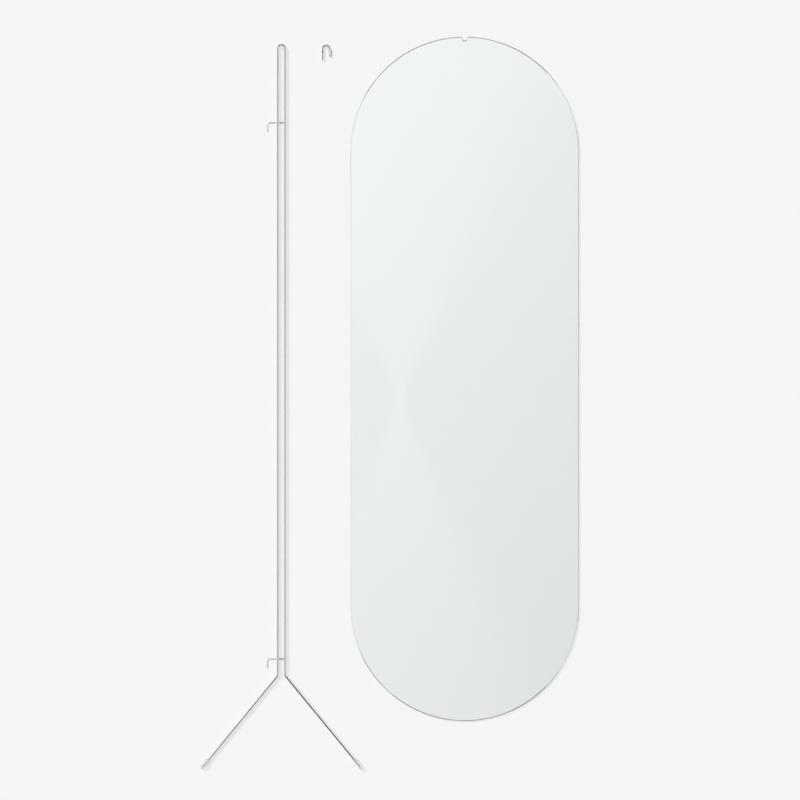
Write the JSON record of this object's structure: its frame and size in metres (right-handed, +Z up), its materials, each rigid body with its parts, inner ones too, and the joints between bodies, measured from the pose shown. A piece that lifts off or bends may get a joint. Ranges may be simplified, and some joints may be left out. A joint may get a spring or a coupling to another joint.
{
  "type": "pill-shaped mirror with rod stand",
  "caption": "Tall frameless pill-shaped mirror with a notch in its top edge, laid flat beside its bent-rod stand with clear foot caps, a sleeved hanging hook and screw-in wall hooks.",
  "frame": {"origin": "middle of the laid-out kit on the surface it lies on, z = 0 under the bumpers", "axes": "+Y towards the notched top of the mirror, +X from the stand to the mirror, +Z up out of the mirror's face"},
  "size_m": [0.9972, 1.9282, 0.0142],
  "materials": {
    "glass": "clear float glass with polished edges",
    "silver": "silvered mirror surface",
    "film": "grey shatter-proof backing film",
    "bumper": "clear soft stick-on bumper",
    "rod": "polished chrome-plated steel rod",
    "wire": "bright zinc-plated steel wire",
    "cap": "clear soft vinyl",
    "sleeve": "clear grey vinyl",
    "screw": "black oxide socket screw"
  },
  "bodies": {
    "mirror": {"mirror_glass": "glass", "silver_coat": "silver", "safety_film": "film", "bumper_upper_left": "bumper", "bumper_upper_right": "bumper", "bumper_lower_left": "bumper", "bumper_lower_right": "bumper"},
    "stand": {"stand_rod": "rod"},
    "left_cap": {"foot_cap_left": "cap"},
    "right_cap": {"foot_cap_right": "cap"},
    "hook": {"hanging_hook": "rod"},
    "sleeve": {"hook_sleeve": "sleeve"},
    "set_screw": {"grub_screw": "screw"},
    "upper_wall_hook": {"wall_hook_upper": "wire"},
    "lower_wall_hook": {"wall_hook_lower": "wire"}
  },
  "joints": [
    {"name": "stand_lift", "type": "slide", "parent": "mirror", "child": "stand", "axis": [0, 0, 1], "range_m": [0, 0.15]},
    {"name": "left_cap_pull", "type": "slide", "parent": "stand", "child": "left_cap", "axis": [-0.6347, -0.7727, 0], "range_m": [0, 0.035]},
    {"name": "right_cap_pull", "type": "slide", "parent": "stand", "child": "right_cap", "axis": [0.6347, -0.7727, 0], "range_m": [0, 0.035]},
    {"name": "hook_lift", "type": "slide", "parent": "mirror", "child": "hook", "axis": [0, 0, 1], "range_m": [0, 0.1]},
    {"name": "sleeve_pull", "type": "slide", "parent": "hook", "child": "sleeve", "axis": [0.0872, -0.9962, 0], "range_m": [0, 0.02]},
    {"name": "screw_travel", "type": "slide", "parent": "hook", "child": "set_screw", "axis": [0, 0, 1], "range_m": [-0.0005, 0.003]},
    {"name": "upper_wall_hook_draw", "type": "slide", "parent": "mirror", "child": "upper_wall_hook", "axis": [-1, 0, 0], "range_m": [0, 0.06]},
    {"name": "lower_wall_hook_draw", "type": "slide", "parent": "mirror", "child": "lower_wall_hook", "axis": [-1, 0, 0], "range_m": [0, 0.06]}
  ]
}
